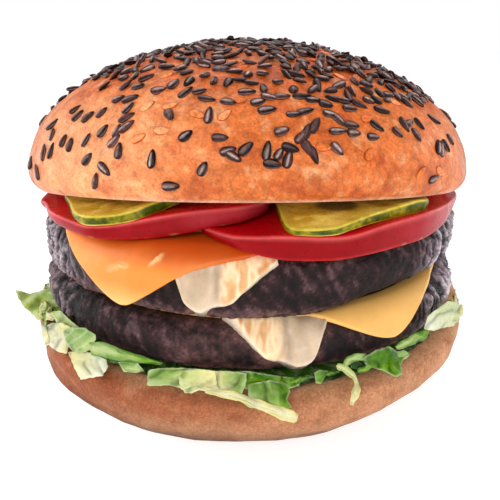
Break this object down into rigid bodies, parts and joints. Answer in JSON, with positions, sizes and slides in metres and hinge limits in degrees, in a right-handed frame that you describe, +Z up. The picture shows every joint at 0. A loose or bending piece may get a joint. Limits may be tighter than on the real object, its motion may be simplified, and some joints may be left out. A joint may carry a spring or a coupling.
{
  "type": "novelty telephone",
  "caption": "Corded telephone shaped like a stacked cheeseburger: the seeded top bun hinges up on a keypad, mouthpiece and hook plunger in the upper patty, with an earpiece in the lid.",
  "frame": {"origin": "on the table under the middle of the burger", "axes": "+Z up from the feet, -Y towards the user at the front of the burger, +X to the user's right; the hinge and the line socket are at +Y"},
  "size_m": [0.1312, 0.1312, 0.0944],
  "materials": {
    "top_bun_crust": "moulded bun crown, satin gloss, with raised seed pattern",
    "bottom_bun_crust": "moulded bun heel, satin",
    "patty": "rough-textured dark brown moulding",
    "cheese": "soft satin yellow-orange vinyl",
    "sauce": "glossy cream vinyl",
    "lettuce": "soft green vinyl frill",
    "tomato": "glossy red vinyl",
    "pickle": "glossy green vinyl",
    "frame_plastic": "plain moulded inner frame",
    "lid_plastic": "bread-coloured moulded liner",
    "hinge_plastic": "bun-coloured knuckle",
    "plate_plastic": "dark brown textured base plate",
    "key_plastic": "ivory key caps",
    "knob_plastic": "black slide knobs and plunger",
    "jack_plastic": "ivory line socket",
    "contact_metal": "gilt contact wires",
    "black_rubber": "non-slip rubber",
    "mat_rubber": "silicone keypad mat",
    "steel": "plain steel",
    "board": "printed board",
    "component_black": "moulded component",
    "capsule_metal": "capsule cans",
    "lead_vinyl": "insulated lead"
  },
  "bodies": {
    "base": {"bottom_bun": "bottom_bun_crust", "lower_patty": "patty", "upper_patty": "patty", "lower_cheese": "cheese", "upper_cheese": "cheese", "keypad_bezel": "cheese", "lower_sauce": "sauce", "upper_sauce": "sauce", "lettuce_frill": "lettuce", "inner_frame": "frame_plastic", "base_hinge": "frame_plastic", "ringer_switch_body": "frame_plastic", "tone_switch_body": "frame_plastic", "hook_switch": "frame_plastic", "base_plate": "plate_plastic", "line_jack": "jack_plastic", "jack_contacts": "contact_metal", "rubber_feet": "black_rubber", "mic_boot": "black_rubber", "keypad_mat": "mat_rubber", "ballast_ring": "steel", "case_screws": "steel", "board_screws": "steel", "hinge_screws": "steel", "hinge_pin": "steel", "hook_spring": "steel", "main_board": "board", "dialler_chip": "component_black", "line_coil": "component_black", "ringer_sounder": "component_black", "microphone": "capsule_metal", "smoothing_capacitor": "capsule_metal"},
    "lid": {"top_bun": "top_bun_crust", "lid_liner": "lid_plastic", "earpiece_grille": "lid_plastic", "earpiece_gasket": "black_rubber", "earpiece_speaker": "capsule_metal", "earpiece_lead": "lead_vinyl", "lid_screws": "steel", "lid_hinge": "hinge_plastic", "tomato_right": "tomato", "tomato_left": "tomato", "pickle_left": "pickle", "pickle_right": "pickle", "lid_bumpers": "black_rubber"},
    "body_key_1": {"key_1": "key_plastic"},
    "body_key_2": {"key_2": "key_plastic"},
    "body_key_3": {"key_3": "key_plastic"},
    "body_key_4": {"key_4": "key_plastic"},
    "body_key_5": {"key_5": "key_plastic"},
    "body_key_6": {"key_6": "key_plastic"},
    "body_key_7": {"key_7": "key_plastic"},
    "body_key_8": {"key_8": "key_plastic"},
    "body_key_9": {"key_9": "key_plastic"},
    "body_key_star": {"key_star": "key_plastic"},
    "body_key_0": {"key_0": "key_plastic"},
    "body_key_hash": {"key_hash": "key_plastic"},
    "hook": {"hook_plunger": "knob_plastic"},
    "ringer_knob": {"ringer_switch_knob": "knob_plastic"},
    "tone_knob": {"tone_switch_knob": "knob_plastic"}
  },
  "joints": [
    {"name": "lid_hinge", "type": "hinge", "parent": "base", "child": "lid", "pos_m": [0, 0.062, 0.0538], "axis": [-1, 0, 0], "range_deg": [0, 110]},
    {"name": "key_1_press", "type": "slide", "parent": "base", "child": "body_key_1", "axis": [0, 0, -1], "range_m": [0, 0.0012], "stiffness_N_per_m": 300, "springref_m": -0.0006},
    {"name": "key_2_press", "type": "slide", "parent": "base", "child": "body_key_2", "axis": [0, 0, -1], "range_m": [0, 0.0012], "stiffness_N_per_m": 300, "springref_m": -0.0006},
    {"name": "key_3_press", "type": "slide", "parent": "base", "child": "body_key_3", "axis": [0, 0, -1], "range_m": [0, 0.0012], "stiffness_N_per_m": 300, "springref_m": -0.0006},
    {"name": "key_4_press", "type": "slide", "parent": "base", "child": "body_key_4", "axis": [0, 0, -1], "range_m": [0, 0.0012], "stiffness_N_per_m": 300, "springref_m": -0.0006},
    {"name": "key_5_press", "type": "slide", "parent": "base", "child": "body_key_5", "axis": [0, 0, -1], "range_m": [0, 0.0012], "stiffness_N_per_m": 300, "springref_m": -0.0006},
    {"name": "key_6_press", "type": "slide", "parent": "base", "child": "body_key_6", "axis": [0, 0, -1], "range_m": [0, 0.0012], "stiffness_N_per_m": 300, "springref_m": -0.0006},
    {"name": "key_7_press", "type": "slide", "parent": "base", "child": "body_key_7", "axis": [0, 0, -1], "range_m": [0, 0.0012], "stiffness_N_per_m": 300, "springref_m": -0.0006},
    {"name": "key_8_press", "type": "slide", "parent": "base", "child": "body_key_8", "axis": [0, 0, -1], "range_m": [0, 0.0012], "stiffness_N_per_m": 300, "springref_m": -0.0006},
    {"name": "key_9_press", "type": "slide", "parent": "base", "child": "body_key_9", "axis": [0, 0, -1], "range_m": [0, 0.0012], "stiffness_N_per_m": 300, "springref_m": -0.0006},
    {"name": "key_star_press", "type": "slide", "parent": "base", "child": "body_key_star", "axis": [0, 0, -1], "range_m": [0, 0.0012], "stiffness_N_per_m": 300, "springref_m": -0.0006},
    {"name": "key_0_press", "type": "slide", "parent": "base", "child": "body_key_0", "axis": [0, 0, -1], "range_m": [0, 0.0012], "stiffness_N_per_m": 300, "springref_m": -0.0006},
    {"name": "key_hash_press", "type": "slide", "parent": "base", "child": "body_key_hash", "axis": [0, 0, -1], "range_m": [0, 0.0012], "stiffness_N_per_m": 300, "springref_m": -0.0006},
    {"name": "hook_slide", "type": "slide", "parent": "base", "child": "hook", "axis": [0, 0, 1], "range_m": [0, 0.0026], "deforming": ["hook_spring"]},
    {"name": "ringer_slide", "type": "slide", "parent": "base", "child": "ringer_knob", "axis": [1, 0, 0], "range_m": [0, 0.003]},
    {"name": "tone_slide", "type": "slide", "parent": "base", "child": "tone_knob", "axis": [1, 0, 0], "range_m": [0, 0.003]}
  ],
  "couplings": [
    {"joint": "hook_slide", "follows": "lid_hinge", "m_per_rad": 0.0013}
  ]
}
